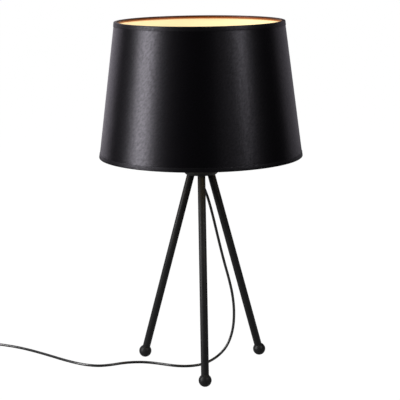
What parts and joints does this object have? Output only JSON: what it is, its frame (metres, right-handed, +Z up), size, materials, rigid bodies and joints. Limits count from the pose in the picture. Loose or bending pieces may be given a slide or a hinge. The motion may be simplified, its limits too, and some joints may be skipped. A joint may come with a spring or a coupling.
{
  "type": "tripod table lamp",
  "caption": "Table lamp with a tapered black fabric drum shade lined in gold, on slim black splayed legs with ball feet, a screw-in bulb and a mains cord with an in-line switch.",
  "frame": {"origin": "on the floor under the middle of the shade", "axes": "+Z up along the lamp's axis, one leg points along -Y"},
  "size_m": [0.5372, 0.2998, 0.52],
  "materials": {
    "shade_fabric": "black satin weave",
    "gold_lining": "brushed gold film",
    "hem_fabric": "black satin weave",
    "frame_wire": "white epoxy",
    "black_paint": "fine satin powder coat",
    "black_ball": "satin",
    "zinc_steel": "bright zinc",
    "holder_plastic": "fine spark texture",
    "ceramic": "glazed",
    "brass": "plain",
    "bulb_opal": "opal, lit",
    "bulb_metal": "nickel plated",
    "bulb_black": "glassy",
    "wire_brown": "soft sheath",
    "cord_black": "satin sheath",
    "switch_black": "fine spark texture",
    "rocker_black": "smooth",
    "tie_black": "woven strap",
    "plug_black": "fine spark texture",
    "pin_nickel": "nickel plated"
  },
  "bodies": {
    "stand": {"hub": "black_paint", "leg_front": "black_paint", "leg_right": "black_paint", "leg_left": "black_paint", "foot_front": "black_ball", "foot_right": "black_ball", "foot_left": "black_ball", "leg_top_plugs": "zinc_steel", "leg_studs": "zinc_steel", "foot_plugs": "zinc_steel", "foot_studs": "zinc_steel", "threaded_stem": "zinc_steel", "stem_washer": "zinc_steel", "stem_nut": "zinc_steel", "cord_grip": "holder_plastic", "cord_inside": "cord_black", "cord_held": "cord_black", "supply_wires": "wire_brown", "holder_cap": "holder_plastic", "holder_sleeve": "holder_plastic", "holder_block": "ceramic", "holder_screws": "brass", "holder_shell": "brass", "holder_contact": "brass", "shade_nut_lower": "holder_plastic", "cord_lead": "cord_black", "cord_tail": "cord_black", "cord_coil": "cord_black", "cord_end": "cord_black", "cord_tie": "tie_black", "switch_base": "switch_black", "switch_cover": "switch_black", "switch_contacts": "brass", "switch_screws": "zinc_steel", "plug_body": "plug_black", "plug_pins": "pin_nickel", "plug_sleeves": "plug_black"},
    "shade": {"shade_cover": "shade_fabric", "shade_lining": "gold_lining", "shade_top_hem": "hem_fabric", "shade_bottom_hem": "hem_fabric", "shade_top_ring": "frame_wire", "shade_bottom_ring": "frame_wire", "fitter_arms": "frame_wire", "fitter_ring": "frame_wire"},
    "shade_nut": {"shade_nut_upper": "holder_plastic"},
    "bulb_contact": {"bulb_tip": "bulb_metal"},
    "bulb": {"bulb_globe": "bulb_opal", "bulb_cap": "bulb_metal", "bulb_insulator": "bulb_black", "bulb_led_board": "ceramic"},
    "rocker": {"switch_rocker": "rocker_black"}
  },
  "joints": [
    {"name": "bulb_lift", "type": "slide", "parent": "stand", "child": "bulb_contact", "axis": [0, 0, 1], "range_m": [0, 0.01815]},
    {"name": "bulb_turn", "type": "hinge", "parent": "bulb_contact", "child": "bulb", "pos_m": [0, 0, 0.3485], "axis": [0, 0, 1], "range_deg": [0, 1800]},
    {"name": "shade_turn", "type": "hinge", "parent": "stand", "child": "shade", "pos_m": [0, 0, 0.35], "axis": [0, 0, 1], "continuous": true},
    {"name": "shade_nut_travel", "type": "slide", "parent": "stand", "child": "shade_nut", "axis": [0, 0, 1], "range_m": [0, 0.012]},
    {"name": "switch_rock", "type": "hinge", "parent": "stand", "child": "rocker", "pos_m": [-0.372, 0.049, 0.014], "axis": [1, 0, 0], "range_deg": [0, 16]}
  ],
  "couplings": [
    {"joint": "bulb_lift", "follows": "bulb_turn", "m_per_rad": 0.00057757}
  ]
}
